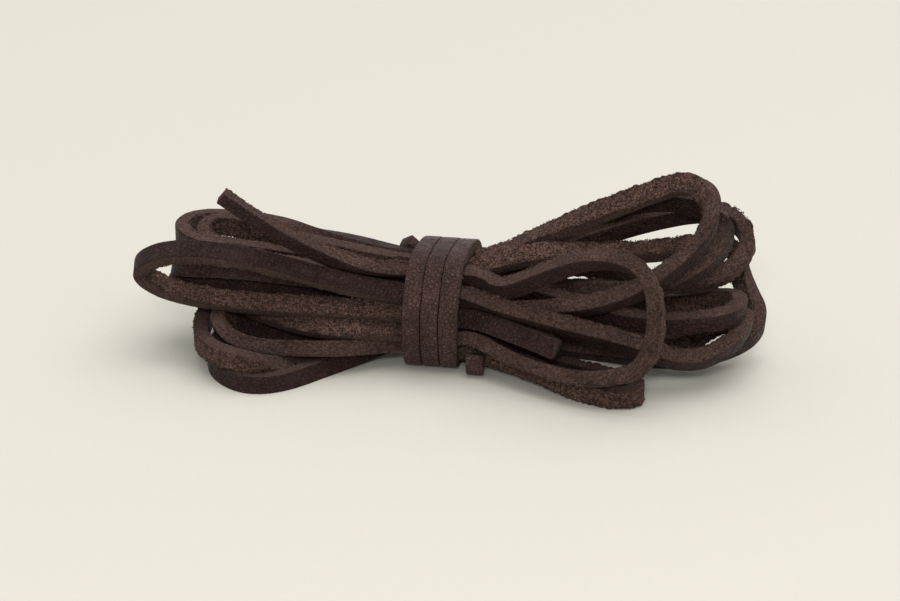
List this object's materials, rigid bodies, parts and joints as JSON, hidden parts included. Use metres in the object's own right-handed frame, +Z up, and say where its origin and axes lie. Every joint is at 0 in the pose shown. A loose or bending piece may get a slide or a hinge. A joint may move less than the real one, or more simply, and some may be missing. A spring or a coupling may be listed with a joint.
{
  "type": "leather lace hank",
  "caption": "Loose hank of square-cut dark brown leather lace, bound round its middle by a shorter tie lace.",
  "frame": {"origin": "middle of the flat underside of the tie, where the hank rests on a surface", "axes": "+X along the hank, towards the side where the tie's first end shows; +Y towards the back; +Z up, away from the resting surface"},
  "size_m": [0.1072, 0.0383, 0.0362],
  "materials": {
    "lace": "matt, smooth grain side and rough flesh side",
    "tie": "matt, smooth pebbled grain side out"
  },
  "bodies": {
    "root": {"left_loop_1": "lace", "left_loop_2": "lace", "left_loop_3": "lace", "left_loop_4": "lace", "left_loop_5": "lace", "left_loop_6": "lace", "left_loop_7": "lace", "left_loop_8": "lace", "right_loop_1": "lace", "right_loop_2": "lace", "right_loop_3": "lace", "right_loop_4": "lace", "right_loop_5": "lace", "right_loop_6": "lace", "right_loop_7": "lace", "right_loop_8": "lace", "lace_end_left": "lace", "lace_end_right": "lace", "tie_turn_1": "tie", "tie_turn_2": "tie", "tie_turn_3": "tie", "tie_start": "tie", "tie_end": "tie"}
  },
  "joints": []
}
